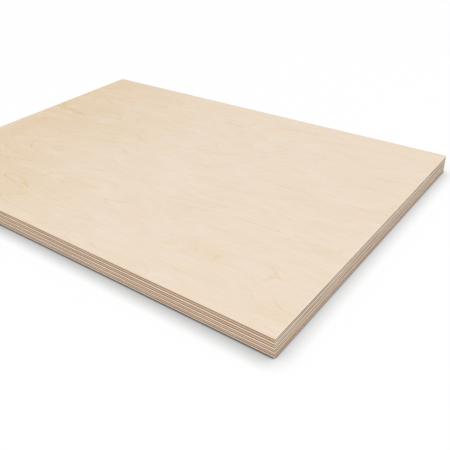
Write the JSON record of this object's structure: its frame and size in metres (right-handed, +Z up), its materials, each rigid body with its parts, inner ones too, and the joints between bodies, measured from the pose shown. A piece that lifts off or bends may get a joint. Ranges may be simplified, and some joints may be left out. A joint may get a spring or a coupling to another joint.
{
  "type": "plywood sheet",
  "caption": "Flat rectangular sheet of birch plywood, sawn square, with its cross-laminated veneer plies showing along the edges.",
  "frame": {"origin": "middle of the underside, on the surface that the sheet lies on", "axes": "+X along the grain of the face veneer, the long way of the sheet; +Y across the grain; +Z up through the plies, out of the face veneer"},
  "size_m": [0.31, 0.218, 0.012],
  "materials": {
    "sanded_face": "bare rotary-cut birch, sanded smooth, matte",
    "long_grain_veneer": "bare birch, saw cut, matte",
    "cross_grain_veneer": "bare birch end grain, saw cut, matte"
  },
  "bodies": {
    "root": {"face_veneer": "sanded_face", "crossband_1": "cross_grain_veneer", "long_ply_1": "long_grain_veneer", "crossband_2": "cross_grain_veneer", "centre_ply": "long_grain_veneer", "crossband_3": "cross_grain_veneer", "long_ply_2": "long_grain_veneer", "crossband_4": "cross_grain_veneer", "back_veneer": "sanded_face"}
  },
  "joints": []
}
